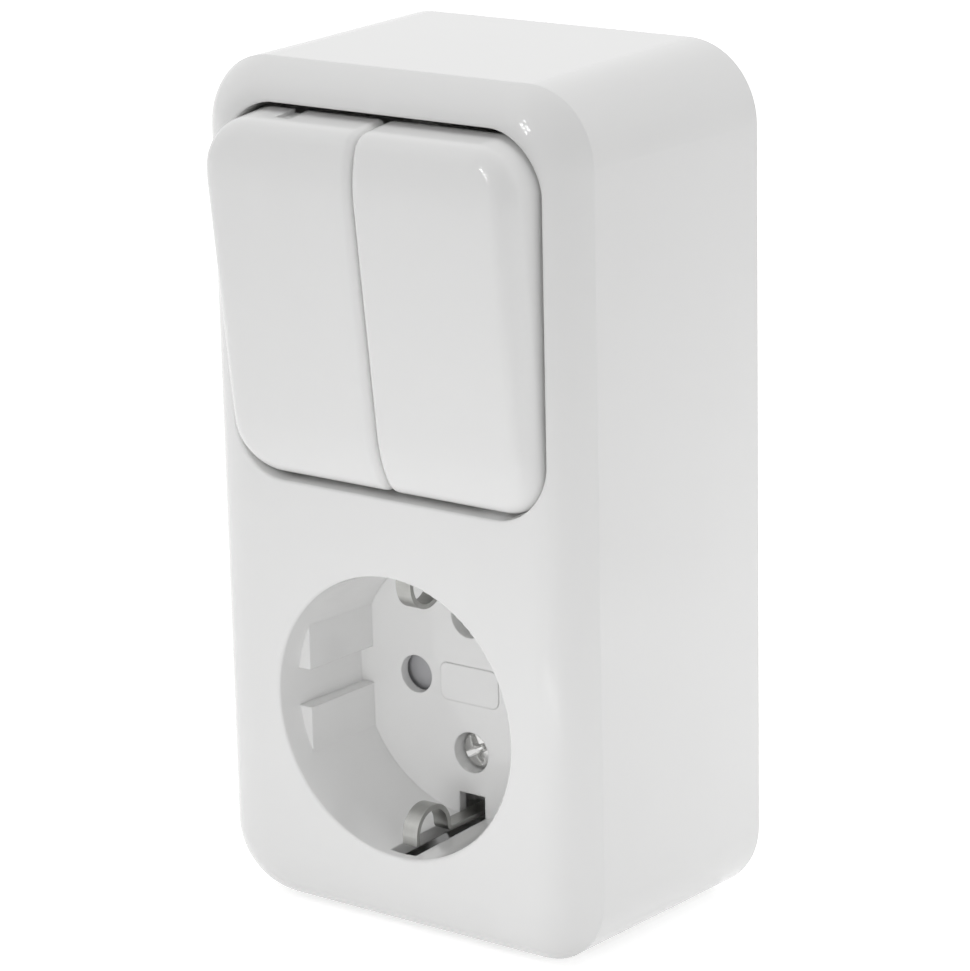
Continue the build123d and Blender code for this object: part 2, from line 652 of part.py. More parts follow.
def terminal_screw(x, z, strip_front):
    """A screw that clamps a wire on a contact strip."""
    return slotted_screw(x, z, strip_front, strip_front - TERM_L, TERM_SHANK_R, TERM_HEAD_R, TERM_HEAD_H)


def fixing_screw(x, z):
    """A screw that holds a block on the base plate."""
    return slotted_screw(x, z, BASE_T + FIX_FLANGE_T, FIX_TIP, FIX_SHANK_R, FIX_HEAD_R, FIX_HEAD_H)


def cover_screw(side):
    """A screw in a cup of the well floor, with a cross recess, held by the earth bow's thread."""
    z = cover_screw_z(side)
    seat = FLOOR_H - COVER_SCREW_SINK - COVER_HEAD_H
    top = seat + COVER_HEAD_H
    tip = BLOCK_FRONT - BOW_T - COVER_THREAD_L
    body = screw(0, z, seat, tip, COVER_SHANK_R, COVER_HEAD_R, COVER_HEAD_H)
    for width, length in ((CROSS_W, CROSS_L), (CROSS_L, CROSS_W)):
        body -= block(-width / 2, width / 2, top - CROSS_DEPTH, top + OVERCUT,
                      z - length / 2, z + length / 2)
    return body


def make_socket_block():
    """The insulating block of the socket: pin chambers, terminal pockets and the shutter's pivot."""
    outline = Pos(0, SOCKET_Z) * RectangleRounded(BLOCK_W, BLOCK_L, BLOCK_CORNER_R)
    body = slab(outline, BASE_T, BLOCK_FRONT)
    bow_back = BLOCK_FRONT - BOW_T
    room = MOVING_GAP / 2
    tab_z = SOCKET_Z + EARTH_TAB_Z
    for side in (-1, 1):
        pin_x = side * PIN_SPACING / 2
        pocket_x = side * TERMINAL_X
        body -= rod(BLOCK_HOLE_R, pin_x, SOCKET_Z, BASE_T, BLOCK_FRONT + OVERCUT)
        body -= block(pin_x - CHAMBER_W / 2, pin_x + CHAMBER_W / 2,
                      BASE_T - OVERCUT, BLOCK_FRONT - BLOCK_SKIN,
                      SOCKET_Z - CHAMBER_L / 2, SOCKET_Z + CHAMBER_L / 2)
        body -= block(pocket_x - POCKET_W / 2, pocket_x + POCKET_W / 2,
                      BASE_T - OVERCUT, BLOCK_FRONT + OVERCUT,
                      SOCKET_Z - POCKET_L / 2, SOCKET_Z + POCKET_L / 2)
        body -= block(min(pin_x, pocket_x), max(pin_x, pocket_x), BASE_T - OVERCUT,
                      BASE_T + CONTACT_LIFT + CONTACT_T + MOVING_GAP,
                      SOCKET_Z - CONTACT_W / 2 - room, SOCKET_Z + CONTACT_W / 2 + room)
        body -= rod(COVER_SHANK_R + FIX_CLEARANCE, 0, cover_screw_z(side),
                    bow_back - COVER_THREAD_L - COVER_THREAD_ROOM, BLOCK_FRONT)
        body -= fixing_hole(side * SOCKET_SCREW_X, SOCKET_Z - side * SOCKET_SCREW_Z, BLOCK_FRONT)
    body -= block(-BRIDGE_W / 2 - room, BRIDGE_W / 2 + room, bow_back, BLOCK_FRONT + OVERCUT,
                  SOCKET_Z - BLOCK_L, SOCKET_Z + BLOCK_L)
    body -= block(-EARTH_TAB_X - EARTH_TAB_W / 2 - room, 0, bow_back, BLOCK_FRONT + OVERCUT,
                  tab_z - EARTH_TAB_W / 2 - room, tab_z + EARTH_TAB_W / 2 + room)
    body -= rod(TERM_SHANK_R + FIX_CLEARANCE, -EARTH_TAB_X, tab_z,
                BLOCK_FRONT - TERM_L - OVERCUT, BLOCK_FRONT)
    return body + rod(PIVOT_R, 0, SOCKET_Z, bow_back - OVERCUT, SHUTTER_FRONT + MOVING_GAP / 2)


def make_pin_contact_right():
    """A forked contact: two sprung leaves for the pin, a tail and a raised tongue for the terminal."""
    root = BASE_T + CONTACT_LIFT + CONTACT_T / 2
    leaf_x = (CONTACT_GAP + CONTACT_T) / 2
    tip = BLOCK_FRONT - BLOCK_SKIN - MOVING_GAP - CONTACT_T / 2
    pin_x = PIN_SPACING / 2
    leaf_paths = Polyline(
        (pin_x - leaf_x - CONTACT_FLARE, -tip),
        (pin_x - leaf_x, -tip + CONTACT_FLARE_L),
        (pin_x - leaf_x, -root),
        (pin_x + leaf_x, -root),
        (pin_x + leaf_x, -tip + CONTACT_FLARE_L),
        (pin_x + leaf_x + CONTACT_FLARE, -tip),
    )
    tail_x = TERMINAL_X - POCKET_W / 2 + CONTACT_T / 2 + MOVING_GAP
    tail_path = Polyline(
        (pin_x + leaf_x, -root),
        (tail_x, -root),
        (tail_x, -(root + TONGUE_H)),
        (TERMINAL_X + POCKET_W / 2 - MOVING_GAP, -(root + TONGUE_H)),
    )
    outline = trace(leaf_paths, CONTACT_T) + trace(tail_path, CONTACT_T)
    contact = Pos(0, 0, SOCKET_Z) * extrude(outline, CONTACT_W / 2, both=True)
    top = root + TONGUE_H + CONTACT_T / 2
    return contact - rod(TERM_SHANK_R + THREAD_GAP, TERMINAL_X, SOCKET_Z,
                         top - 2 * CONTACT_T, top + OVERCUT)


def clip_path(side):
    """The centre line of one clip, drawn over (-height, z): run, bend, arch and foot."""
    middle = BLOCK_FRONT - BOW_T / 2
    arch = DEPTH - CLIP_CENTRE_DEPTH
    foot_back = arch - CLIP_R
    foot_front = arch + CLIP_R
    run_z = SOCKET_Z + side * CLIP_RUN_Z
    foot_z = SOCKET_Z + side * CLIP_FOOT_Z
    start = Line((-middle, cover_screw_z(side)), (-middle, run_z - side * CLIP_BEND_R))
    corner = TangentArc(start @ 1, (-middle - CLIP_BEND_R, run_z), tangent=(0, side))
    run = Line(corner @ 1, (-(foot_back - (CLIP_RUN_Z - CLIP_FOOT_Z)), run_z))
    bend = TangentArc(run @ 1, (-foot_back, foot_z), tangent=(-1, 0))
    arch_line = ThreePointArc((-foot_back, foot_z), (-arch, foot_z - side * CLIP_R), (-foot_front, foot_z))
    foot = Line(arch_line @ 1, (-foot_front, foot_z + side * CLIP_FOOT_L))
    return [start, corner, run, bend, arch_line, foot]


def make_earth_bow():
    """One bent strip: a threaded bridge across the block, a terminal tab and a clip at each end."""
    back = BLOCK_FRONT - BOW_T
    bridge_end = CLIP_RUN_Z - CLIP_BEND_R - BOW_T
    bow = block(-BRIDGE_W / 2, BRIDGE_W / 2, back, BLOCK_FRONT,
                SOCKET_Z - bridge_end, SOCKET_Z + bridge_end)
    tab_z = SOCKET_Z + EARTH_TAB_Z
    bow += block(-EARTH_TAB_X - EARTH_TAB_W / 2, 0, back, BLOCK_FRONT,
                 tab_z - EARTH_TAB_W / 2, tab_z + EARTH_TAB_W / 2)
    for side in (-1, 1):
        clip = trace(clip_path(side), BOW_T)
        bow += side_profile(clip, -CLIP_W / 2, CLIP_W / 2)
        bow -= rod(COVER_SHANK_R + THREAD_GAP, 0, cover_screw_z(side),
                   back - OVERCUT, BLOCK_FRONT + OVERCUT)
    bow -= rod(PIVOT_R + MOVING_GAP, 0, SOCKET_Z, back - OVERCUT, BLOCK_FRONT + OVERCUT)
    return bow - rod(TERM_SHANK_R + THREAD_GAP, -EARTH_TAB_X, tab_z, back - OVERCUT, BLOCK_FRONT + OVERCUT)


def make_shutter():
    """The rotor with two lobes that cover the pin holes until a plug turns it."""
    lobes = Rectangle(2 * SHUTTER_REACH, 2 * SHUTTER_HALF_W)
    lobes = fillet(lobes.vertices(), SHUTTER_CORNER_R)
    outline = Pos(0, SOCKET_Z) * (lobes + Circle(SHUTTER_HUB_R))
    rotor = slab(outline, SHUTTER_BACK, SHUTTER_FRONT)
    for side in (-1, 1):
        edge_z = SOCKET_Z - side * SHUTTER_HALF_W
        ramp = make_face(
            Polyline(
                (-SHUTTER_FRONT - OVERCUT, edge_z + side * (SHUTTER_RAMP + OVERCUT)),
                (-SHUTTER_FRONT - OVERCUT, edge_z - side * OVERCUT),
                (-SHUTTER_FRONT + SHUTTER_RAMP, edge_z),
                close=True,
            )
        )
        x_near = side * (PIN_SPACING / 2 - PIN_HOLE_R)
        x_far = side * (SHUTTER_REACH + OVERCUT)
        rotor -= side_profile(ramp, min(x_near, x_far), max(x_near, x_far))
    spring_room = SHUTTER_SPRING_R + SHUTTER_WIRE_R + MOVING_GAP
    rotor -= rod(PIVOT_R + RUNNING_GAP, 0, SOCKET_Z, SHUTTER_BACK - OVERCUT, SHUTTER_FRONT + OVERCUT)
    return rotor - rod(spring_room, 0, SOCKET_Z, SHUTTER_BACK - OVERCUT, SHUTTER_BACK + SHUTTER_SPRING_ROOM)


def make_shutter_spring():
    """The small torsion coil round the pivot, in the back of the rotor's hub."""
    foot = SHUTTER_BACK + SHUTTER_WIRE_R
    spring = coil_spring(SHUTTER_SPRING_PITCH, 2 * SHUTTER_SPRING_PITCH, SHUTTER_SPRING_R, SHUTTER_WIRE_R)
    return Pos(0, -foot, SOCKET_Z) * spring


def make_base_plate():
    """The plate on the wall: wall holes, the cable entry and holes for the fixing screws."""
    inner_w = WIDTH - 2 * WALL - 2 * BASE_GAP
    inner_l = HEIGHT - 2 * WALL - 2 * BASE_GAP
    plate = slab(RectangleRounded(inner_w, inner_l, CORNER_R - WALL - BASE_GAP), 0, BASE_T)
    plate -= slab(Pos(0, ENTRY_Z) * SlotOverall(ENTRY_W, ENTRY_L), -OVERCUT, BASE_T + OVERCUT)
    for x in (-WALL_HOLE_X, WALL_HOLE_X):
        for z in (-WALL_HOLE_Z, WALL_HOLE_Z):
            plate -= rod(WALL_HOLE_R, x, z, -OVERCUT, BASE_T + OVERCUT)
            plate -= rod(WALL_HEAD_R, x, z, BASE_T - WALL_HEAD_SINK, BASE_T + OVERCUT)
    for x, z in switch_screw_places() + socket_screw_places():
        plate -= rod(FIX_SHANK_R + THREAD_GAP, x, z, FIX_TIP - FIX_TIP_ROOM, BASE_T + OVERCUT)
    return plate


def switch_screw_places():
    """Where the three screws of the switch body stand."""
    high = SWITCH_Z + SWITCH_SCREW_Z
    return [(-SWITCH_SCREW_X, high), (SWITCH_SCREW_X, high), (0, SWITCH_Z - SWITCH_SCREW_Z)]


def socket_screw_places():
    """Where the two screws of the socket block stand."""
    return [(-SOCKET_SCREW_X, SOCKET_Z + SOCKET_SCREW_Z), (SOCKET_SCREW_X, SOCKET_Z - SOCKET_SCREW_Z)]


def build_nodes():
    """Every piece of the product under its own name."""
    nodes = {"cover": make_cover(), "base_plate": make_base_plate()}
    rocker_right = make_rocker_right()
    nodes["rocker_left"] = make_rocker_left(rocker_right)
    nodes["rocker_right"] = rocker_right
    twins = {
        "rocker_carrier": make_carrier_right(),
        "plunger": make_plunger_right(),
        "plunger_spring": make_plunger_spring_right(),
        "contact_blade": make_blade_right(),
        "fixed_contact": make_fixed_contact_right(),
        "output_terminal_screw": terminal_screw(ROCKER_X, SWITCH_Z - TERMINAL_REACH, FIXED_FRONT),
    }
    for name, solid in twins.items():
        nodes[name + "_left"] = mirrored(solid)
        nodes[name + "_right"] = solid
    nodes["switch_body"] = make_switch_body()
    nodes["common_contact_bar"] = make_common_contact_bar()
    nodes["common_terminal_screw"] = terminal_screw(0, SWITCH_Z + TERMINAL_REACH, BAR_FRONT)
    for name, place in zip(("top_left", "top_right", "bottom"), switch_screw_places()):
        nodes["switch_screw_" + name] = fixing_screw(*place)
    nodes["socket_block"] = make_socket_block()
    pin_contact = make_pin_contact_right()
    tongue = BASE_T + CONTACT_LIFT + CONTACT_T + TONGUE_H
    nodes["live_contact"] = mirrored(pin_contact)
    nodes["neutral_contact"] = pin_contact
    nodes["live_terminal_screw"] = terminal_screw(-TERMINAL_X, SOCKET_Z, tongue)
    nodes["neutral_terminal_screw"] = terminal_screw(TERMINAL_X, SOCKET_Z, tongue)
    nodes["earth_bow"] = make_earth_bow()
    nodes["earth_terminal_screw"] = terminal_screw(-EARTH_TAB_X, SOCKET_Z + EARTH_TAB_Z, BLOCK_FRONT)
    nodes["shutter"] = make_shutter()
    nodes["shutter_spring"] = make_shutter_spring()
    nodes["cover_screw_upper"] = cover_screw(1)
    nodes["cover_screw_lower"] = cover_screw(-1)
    for name, place in zip(("left", "right"), socket_screw_places()):
        nodes["socket_screw_" + name] = fixing_screw(*place)
    return nodes


os.makedirs("parts", exist_ok=True)
for node_name, node_solid in build_nodes().items():
    export_step(node_solid, f"parts/{node_name}.step")
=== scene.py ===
import json
from math import cos, pi, radians, sin, sqrt

import bmesh
import bpy
from mathutils import Matrix, Vector

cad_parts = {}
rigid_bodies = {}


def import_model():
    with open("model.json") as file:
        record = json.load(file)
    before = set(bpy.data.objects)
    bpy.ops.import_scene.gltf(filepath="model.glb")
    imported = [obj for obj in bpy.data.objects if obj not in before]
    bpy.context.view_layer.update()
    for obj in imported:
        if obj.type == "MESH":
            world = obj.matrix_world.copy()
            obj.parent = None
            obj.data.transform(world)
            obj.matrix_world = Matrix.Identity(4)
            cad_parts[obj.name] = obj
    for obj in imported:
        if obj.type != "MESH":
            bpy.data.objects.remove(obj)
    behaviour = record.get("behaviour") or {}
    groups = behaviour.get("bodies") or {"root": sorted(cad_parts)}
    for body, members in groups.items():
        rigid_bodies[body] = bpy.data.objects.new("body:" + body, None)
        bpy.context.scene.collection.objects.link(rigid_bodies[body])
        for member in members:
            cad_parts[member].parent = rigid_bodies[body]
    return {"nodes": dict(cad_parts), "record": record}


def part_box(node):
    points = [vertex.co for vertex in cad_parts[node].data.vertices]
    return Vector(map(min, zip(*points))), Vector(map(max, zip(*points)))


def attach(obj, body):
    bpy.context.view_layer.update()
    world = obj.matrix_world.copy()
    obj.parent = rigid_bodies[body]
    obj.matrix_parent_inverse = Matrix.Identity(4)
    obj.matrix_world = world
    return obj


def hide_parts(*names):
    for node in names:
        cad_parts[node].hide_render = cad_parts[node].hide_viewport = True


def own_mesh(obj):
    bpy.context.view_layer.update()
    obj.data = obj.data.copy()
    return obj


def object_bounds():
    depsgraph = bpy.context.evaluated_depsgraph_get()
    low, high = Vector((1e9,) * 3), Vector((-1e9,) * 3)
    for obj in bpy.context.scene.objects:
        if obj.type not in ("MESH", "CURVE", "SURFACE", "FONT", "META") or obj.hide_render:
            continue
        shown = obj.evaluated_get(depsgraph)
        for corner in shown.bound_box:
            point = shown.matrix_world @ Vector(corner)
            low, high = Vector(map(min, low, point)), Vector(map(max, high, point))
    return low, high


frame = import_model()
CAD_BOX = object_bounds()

# Everything is in metres, in the frame of the CAD model: the wall is y = 0 and the front faces -Y.
MM = 0.001

# Camera, fitted to the edges of the unit in the photograph
CAMERA_PLACE = Vector((0.330559, -0.449570, 0.152009))
CAMERA_YAW = radians(37.512)
CAMERA_PITCH = radians(15.730)
CAMERA_ROLL = radians(-1.259)
CAMERA_LENS = 150.0
CAMERA_SENSOR = 36.0
CLIP_START = 0.01

# Lamps: the place, the target, the size in metres and the watts
LAMPS = {
    "top_softbox": ((0.0, 0.1, 1.2), (0.0, 0.0, 0.0), 0.8, 4.7),
    "left_softbox": ((-1.2, -0.5, 0.2), (0.0, 0.0, 0.0), 0.8, 2.45),
    "low_front": ((0.02, -0.17, -0.048), (0.0, -0.04, -0.05), 0.06, 0.050),
    "low_right": ((0.18, 0.06, -0.05), (0.033, -0.02, -0.05), 0.06, 0.084),
}

# Small panes whose reflections show on the cover's corner: the directions in which they stand
GLINT_CENTRE = Vector((0.0242, -0.0404, 0.0556))
GLINT_RANGE = 1.3
GLINT_SIZE = 0.028
GLINT_WATTS = 0.26
GLINTS = (
    (-0.361, -0.765, 0.534),
    (-0.412, -0.802, 0.433),
    (-0.307, -0.848, 0.432),
    (-0.375, -0.848, 0.376),
    (-0.280, -0.881, 0.382),
    (-0.342, -0.902, 0.300),
)

# Surroundings
WHITE = (1.0, 1.0, 1.0, 1.0)
WORLD_LIGHT = 0.51
BOUNCES = 12
FLOOR_SIZE = 6.0
FLOOR_COLOUR = (0.86, 0.86, 0.86)
FLOOR_ROUGHNESS = 0.9
FLOOR_LIFT = 0.56

# Noise: scales in waves per metre, and the part of a noise's values that is spread out
CLOUD_SCALE = 45.0
WEAR_SCALE = 260.0
WAVE_SCALE = 110.0
PLATING_SCALE = 500.0
LINE_SCALE = 2500.0
NOISE_LOW = 0.3
NOISE_HIGH = 0.7

# Plastic
PLASTIC_IOR = 1.5
FINE_GRAIN = 0.35 * MM
COARSE_GRAIN = 0.5 * MM
WAVE_SHARE = 5.0
EDGE_SAMPLES = 6
PLASTICS = {
    "cover_plastic": {
        "colour": (0.865, 0.865, 0.861), "roughness": 0.08, "grain": FINE_GRAIN,
        "depth": 0.0003 * MM, "shade": 0.008, "soft": 0.35 * MM,
    },
    "rocker_plastic": {
        "colour": (0.868, 0.868, 0.864), "roughness": 0.08, "grain": FINE_GRAIN,
        "depth": 0.0003 * MM, "shade": 0.008, "soft": 0.9 * MM,
    },
    "carrier_plastic": {
        "colour": (0.84, 0.84, 0.83), "roughness": 0.4, "grain": COARSE_GRAIN,
        "depth": 0.004 * MM, "shade": 0.03,
    },
    "block_plastic": {
        "colour": (0.84, 0.84, 0.82), "roughness": 0.45, "grain": COARSE_GRAIN,
        "depth": 0.004 * MM, "shade": 0.03,
    },
    "base_plastic": {
        "colour": (0.85, 0.85, 0.84), "roughness": 0.4, "grain": COARSE_GRAIN,
        "depth": 0.004 * MM, "shade": 0.03,
    },
    "shutter_plastic": {
        "colour": (0.50, 0.50, 0.515), "roughness": 0.35, "grain": COARSE_GRAIN,
        "depth": 0.003 * MM, "shade": 0.03,
    },
}

# Metal
PLATING_SHADE = 0.12
METALS = {
    "contact_brass": {
        "colour": (0.78, 0.57, 0.27), "roughness": 0.28,
        "streak": 0.0008 * MM, "streak_axis": (1.0, 1.0, 0.1),
    },
    # The earth metal's colour is kept darker than its plating: painted shade that stands in for
    # the dim surroundings it reflects
    "earth_metal": {
        "colour": (0.42, 0.42, 0.405), "roughness": 0.34,
        "streak": 0.001 * MM, "streak_axis": (0.1, 1.0, 1.0),
    },
    "zinc_steel": {"colour": (0.72, 0.72, 0.71), "roughness": 0.16, "streak": 0.0004 * MM},
    "spring_steel": {"colour": (0.55, 0.55, 0.56), "roughness": 0.3},
}
METAL_EDGES = {"earth_bow": 0.09 * MM, "shutter": 0.15 * MM}
EDGE_SEGMENTS = 2
EDGE_ANGLE = radians(40)

# Cover screws
CROWN = 0.25 * MM
CROWN_STEPS = 70
RIM_ROUND = 0.55 * MM
HEAD_H = 1.6 * MM
SHANK_R = 1.45 * MM
RECESS_W = 1.35 * MM
RECESS_REACH = 2.3 * MM
RECESS_DEPTH = 1.25 * MM
RECESS_SLOPE = 2.6
RECESS_TAPER = 0.3
RECESS_TURN = radians(28)
THREAD_PITCH = 0.8 * MM
THREAD_CUT = 0.22 * MM
THREAD_CREST = 0.1 * THREAD_PITCH
THREAD_ROOT = 0.55 * THREAD_PITCH
SCREW_SLICES = 160
SCREW_SHARP = radians(35)

# Springs
PLUNGER_COIL = {"ring": 1.1 * MM, "wire": 0.2 * MM, "turns": 4}
SHUTTER_COIL = {"ring": 2.2 * MM, "wire": 0.15 * MM, "turns": 2}
COIL_STEPS = 32
WIRE_SIDES = 10

NODES = frame["nodes"]
RECORD = frame["record"]


def opaque(colour):
    """A colour with full alpha."""
    return (*colour, 1.0)


def new_material(name):
    """A material with one Principled shader, and its node tree."""
    material = bpy.data.materials.new(name)
    material.use_nodes = True
    return material, material.node_tree.nodes, material.node_tree.links


def add_noise(nodes, links, scale, detail, coordinate):
    """A noise texture over object space, scale in waves per metre."""
    noise = nodes.new("ShaderNodeTexNoise")
    noise.inputs["Scale"].default_value = scale
    noise.inputs["Detail"].default_value = detail
    links.new(coordinate, noise.inputs["Vector"])
    return noise.outputs["Fac"]


def add_ramp(nodes, links, noise, low, high):
    """A noise mapped to run from low to high."""
    spread = nodes.new("ShaderNodeMapRange")
    spread.inputs["From Min"].default_value = NOISE_LOW
    spread.inputs["From Max"].default_value = NOISE_HIGH
    spread.inputs["To Min"].default_value = low
    spread.inputs["To Max"].default_value = high
    links.new(noise, spread.inputs["Value"])
    return spread.outputs["Result"]


def add_clouds(nodes, links, noise, colour, shade):
    """A colour that is darker by a share where a noise is low."""
    factor = add_ramp(nodes, links, noise, 0.0, 1.0)
    mix = nodes.new("ShaderNodeMix")
    mix.data_type = "RGBA"
    mix.inputs["A"].default_value = opaque(channel * (1 - shade) for channel in colour)
    mix.inputs["B"].default_value = opaque(colour)
    links.new(factor, mix.inputs["Factor"])
    return mix.outputs["Result"]


def add_bump(nodes, links, height, depth):
    """A bump node of full strength over a height."""
    bump = nodes.new("ShaderNodeBump")
    bump.inputs["Strength"].default_value = 1.0
    bump.inputs["Distance"].default_value = depth
    links.new(height, bump.inputs["Height"])
    return bump


def plastic(name, colour, roughness, grain, depth, shade, soft=0.0):
    """Moulded plastic: faint clouds in its colour, a fine skin, a slow waviness and soft edges."""
    material, nodes, links = new_material(name)
    shader = nodes["Principled BSDF"]
    shader.inputs["IOR"].default_value = PLASTIC_IOR
    space = nodes.new("ShaderNodeTexCoord").outputs["Object"]
    clouds = add_noise(nodes, links, CLOUD_SCALE, 2.0, space)
    links.new(add_clouds(nodes, links, clouds, colour, shade), shader.inputs["Base Color"])
    wear = add_noise(nodes, links, WEAR_SCALE, 4.0, space)
    rough = add_ramp(nodes, links, wear, roughness - 0.015, roughness + 0.025)
    links.new(rough, shader.inputs["Roughness"])
    skin = add_noise(nodes, links, 1.0 / grain, 2.0, space)
    wave = add_noise(nodes, links, WAVE_SCALE, 1.0, space)
    height = nodes.new("ShaderNodeMath")
    height.operation = "MULTIPLY_ADD"
    height.inputs[1].default_value = WAVE_SHARE
    links.new(wave, height.inputs[0])
    links.new(skin, height.inputs[2])
    bump = add_bump(nodes, links, height.outputs["Value"], depth)
    if soft:
        edge = nodes.new("ShaderNodeBevel")
        edge.samples = EDGE_SAMPLES
        edge.inputs["Radius"].default_value = soft
        links.new(edge.outputs["Normal"], bump.inputs["Normal"])
    links.new(bump.outputs["Normal"], shader.inputs["Normal"])
    return material


def metal(name, colour, roughness, streak=0.0, streak_axis=(1.0, 1.0, 1.0)):
    """Plated or plain metal: cloudy plating, and fine drawn or rolled lines."""
    material, nodes, links = new_material(name)
    shader = nodes["Principled BSDF"]
    shader.inputs["Metallic"].default_value = 1.0
    space = nodes.new("ShaderNodeTexCoord").outputs["Object"]
    clouds = add_noise(nodes, links, PLATING_SCALE, 3.0, space)
    links.new(add_clouds(nodes, links, clouds, colour, PLATING_SHADE), shader.inputs["Base Color"])
    stretch = nodes.new("ShaderNodeMapping")
    stretch.inputs["Scale"].default_value = streak_axis
    links.new(space, stretch.inputs["Vector"])
    lines = add_noise(nodes, links, LINE_SCALE, 2.0, stretch.outputs["Vector"])
    rough = add_ramp(nodes, links, lines, roughness - 0.05, roughness + 0.1)
    links.new(rough, shader.inputs["Roughness"])
    if streak:
        bump = add_bump(nodes, links, lines, streak)
        links.new(bump.outputs["Normal"], shader.inputs["Normal"])
    return material


def make_materials():
    """One finish for each material slot of the record."""
    finishes = {name: plastic(name, **look) for name, look in PLASTICS.items()}
    finishes.update((name, metal(name, **look)) for name, look in METALS.items())
    return finishes


def dress_nodes(materials):
    """Each CAD node gets the finish of its slot."""
    for part in RECORD["subparts"]:
        mesh = NODES[part["node"]].data
        mesh.materials.clear()
        mesh.materials.append(materials[part["material_slot"]])


def mesh_piece(name, shape, material, body):
    """A new smooth piece from a bmesh, with its material, on a body."""
    mesh = bpy.data.meshes.new(name)
    bmesh.ops.recalc_face_normals(shape, faces=shape.faces)
    shape.normal_update()
    shape.to_mesh(mesh)
    shape.free()
    mesh.materials.append(material)
    for face in mesh.polygons:
        face.use_smooth = True
    piece = bpy.data.objects.new(name, mesh)
    bpy.context.scene.collection.objects.link(piece)
    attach(piece, body)
    return piece


def join_rings(shape, rings):
    """Faces between each ring of vertices and the next."""
    for near, far in zip(rings, rings[1:]):
        count = len(near)
        for i in range(count):
            j = (i + 1) % count
            shape.faces.new((near[i], near[j], far[j], far[i]))


def crown_drop(radius, head_r):
    """How far the head's top falls from its middle to a radius."""
    drop = CROWN * (radius / head_r) ** 2
    past = radius - (head_r - RIM_ROUND)
    if past > 0:
        drop += RIM_ROUND - sqrt(max(RIM_ROUND**2 - past**2, 0.0))
    return drop


def recess_drop(across, along):
    """The depth of the cross recess, with sloped walls and arms that rise outwards."""
    depth = 0.0
    for side, length in ((across, along), (along, across)):
        reach = abs(length) / RECESS_REACH
        half = RECESS_W / 2 * (1.0 - RECESS_TAPER * min(reach, 1.0))
        wall = RECESS_SLOPE * (half - abs(side))
        end = RECESS_DEPTH * (1.0 - reach**2)
        depth = max(depth, min(wall, end, RECESS_DEPTH))
    return depth


def screw_profile(head_r, length):
    """Rings from the head's middle to the shank's tip, as radius and depth behind the top."""
    rings = []
    for i in range(1, CROWN_STEPS + 1):
        radius = head_r * i / CROWN_STEPS
        rings.append((radius, crown_drop(radius, head_r)))
    rings.append((head_r, HEAD_H))
    rings.append((SHANK_R, HEAD_H))
    depth = HEAD_H
    while depth + THREAD_PITCH < length:
        rings.append((SHANK_R, depth + THREAD_CREST))
        rings.append((SHANK_R - THREAD_CUT, depth + THREAD_ROOT))
        depth += THREAD_PITCH
    rings.append((SHANK_R, depth))
    rings.append((SHANK_R - THREAD_CUT, length))
    return rings


def make_cover_screw(name, material):
    """A domed screw with a cross recess, in place of the plain CAD screw."""
    low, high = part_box(name)
    middle = Vector(((low[0] + high[0]) / 2, low[1], (low[2] + high[2]) / 2))
    head_r = (high[0] - low[0]) / 2
    length = high[1] - low[1]
    shape = bmesh.new()
    rings = []
    for radius, depth in screw_profile(head_r, length):
        ring = []
        for i in range(SCREW_SLICES):
            angle = 2 * pi * i / SCREW_SLICES
            across = radius * cos(angle - RECESS_TURN)
            along = radius * sin(angle - RECESS_TURN)
            fall = recess_drop(across, along) if depth < HEAD_H / 2 else 0.0
            place = Vector((radius * cos(angle), depth + fall, radius * sin(angle)))
            ring.append(shape.verts.new(middle + place))
        rings.append(ring)
    join_rings(shape, rings)
    hub = shape.verts.new(middle + Vector((0.0, RECESS_DEPTH, 0.0)))
    tip = shape.verts.new(middle + Vector((0.0, length, 0.0)))
    for i in range(SCREW_SLICES):
        j = (i + 1) % SCREW_SLICES
        shape.faces.new((hub, rings[0][j], rings[0][i]))
        shape.faces.new((tip, rings[-1][i], rings[-1][j]))
    piece = mesh_piece(name + "_detail", shape, material, "housing")
    piece.data.set_sharp_from_angle(angle=SCREW_SHARP)
    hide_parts(name)


def coil_rings(centre, along, start, end, coil, hand):
    """Rings of points round the wire, from one end of a coil to the other."""
    side = Vector((1.0, 0.0, 0.0))
    across = side.cross(along) * hand
    count = coil["turns"] * COIL_STEPS
    rings = []
    for i in range(count + 1):
        angle = 2 * pi * i / COIL_STEPS
        out = side * cos(angle) + across * sin(angle)
        middle = centre + along * (start + (end - start) * i / count) + out * coil["ring"]
        rings.append([
            middle + (out * cos(turn) + along * sin(turn)) * coil["wire"]
            for turn in (2 * pi * k / WIRE_SIDES for k in range(WIRE_SIDES))
        ])
    return rings


def make_spring(name, material, body, along, coil, hand, joint=None):
    """A round-wire coil in place of a CAD spring. With a joint, it gets a mesh of its own."""
    low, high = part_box(name)
    centre = (low + high) / 2
    cad = NODES[name]
    reach = [(cad.matrix_world @ vertex.co - centre).dot(along) for vertex in cad.data.vertices]
    start = min(reach) + coil["wire"]
    end = max(reach) - coil["wire"]
    shape = bmesh.new()
    points = coil_rings(centre, along, start, end, coil, hand)
    rings = [[shape.verts.new(point) for point in ring] for ring in points]
    join_rings(shape, rings)
    shape.faces.new(rings[0])
    shape.faces.new(rings[-1][::-1])
    piece = mesh_piece(name + "_detail", shape, material, body)
    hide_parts(name)
    if joint:
        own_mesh(piece)


def make_springs(material):
    """The two plunger springs and the shutter's spring."""
    for joint in RECORD["behaviour"]["joints"]:
        if joint["type"] == "slide":
            name = joint["deforming_nodes"][0]["node"]
            body = joint["parent"]
            along = Vector(joint["axis"]).normalized()
            hand = 1 if body.startswith("right") else -1
            make_spring(name, material, body, along, PLUNGER_COIL, hand, joint["name"])
    out = Vector((0.0, -1.0, 0.0))
    make_spring("shutter_spring", material, "housing", out, SHUTTER_COIL, 1)


